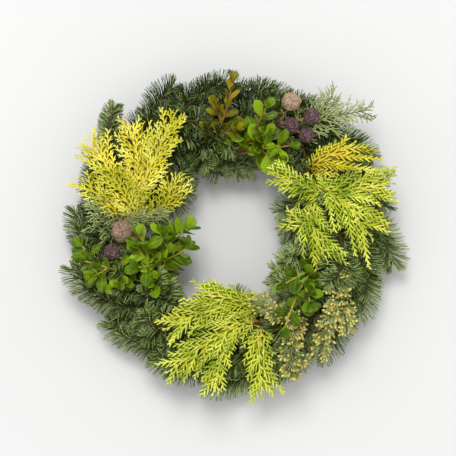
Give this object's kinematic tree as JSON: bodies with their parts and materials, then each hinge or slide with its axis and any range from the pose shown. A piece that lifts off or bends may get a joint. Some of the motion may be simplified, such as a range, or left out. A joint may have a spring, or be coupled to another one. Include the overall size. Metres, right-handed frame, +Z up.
{
  "type": "evergreen wreath",
  "caption": "Round wreath of fir sprigs wired to a straw ring, with golden cypress fans, glossy leafy sprigs, budded cypress and round cones",
  "frame": {"origin": "under the middle of the straw ring, on the surface that the wreath lies on", "axes": "+Z is up, out of the wreath's face; +Y points to the top of the wreath as it would hang"},
  "size_m": [0.3493, 0.3318, 0.1001],
  "materials": {
    "straw": "dull",
    "wire": "satin",
    "fir_green": "satin",
    "gold": "dull",
    "lime": "dull",
    "leaf_green": "glossy",
    "leaf_bronze": "glossy",
    "cone_brown": "dull",
    "blue_green": "dull",
    "bud_green": "dull"
  },
  "bodies": {
    "root": {"straw_ring": "straw", "binding_wire": "wire", "fir_outer_1": "fir_green", "fir_outer_2": "fir_green", "fir_outer_3": "fir_green", "fir_outer_4": "fir_green", "fir_outer_5": "fir_green", "fir_outer_6": "fir_green", "fir_outer_7": "fir_green", "fir_outer_8": "fir_green", "fir_outer_9": "fir_green", "fir_outer_10": "fir_green", "fir_outer_11": "fir_green", "fir_outer_12": "fir_green", "fir_outer_13": "fir_green", "fir_outer_14": "fir_green", "fir_outer_15": "fir_green", "fir_outer_16": "fir_green", "fir_outer_17": "fir_green", "fir_inner_1": "fir_green", "fir_inner_2": "fir_green", "fir_inner_3": "fir_green", "fir_inner_4": "fir_green", "fir_inner_5": "fir_green", "fir_inner_6": "fir_green", "fir_top_1": "fir_green", "fir_top_2": "fir_green", "fir_top_3": "fir_green", "fir_top_4": "fir_green", "fir_top_5": "fir_green", "fir_top_6": "fir_green", "fir_top_7": "fir_green", "fir_top_8": "fir_green", "gold_left_1": "gold", "gold_left_2": "gold", "gold_left_3": "gold", "gold_left_4": "gold", "gold_left_5": "gold", "gold_right_1": "lime", "gold_right_2": "lime", "gold_right_3": "lime", "gold_right_4": "lime", "gold_right_5": "lime", "gold_right_6": "lime", "gold_bottom_1": "lime", "gold_bottom_2": "lime", "gold_bottom_3": "lime", "gold_bottom_4": "lime", "gold_bottom_5": "lime", "leafy_top_1": "leaf_bronze", "leafy_top_2": "leaf_green", "leafy_left_1": "leaf_green", "leafy_left_2": "leaf_green", "leafy_right": "leaf_green", "cone_twig_left": "cone_brown", "cone_twig_top": "cone_brown", "cypress_top": "blue_green", "cypress_left": "blue_green", "bud_spray_1": "bud_green", "bud_spray_2": "bud_green"}
  },
  "joints": []
}
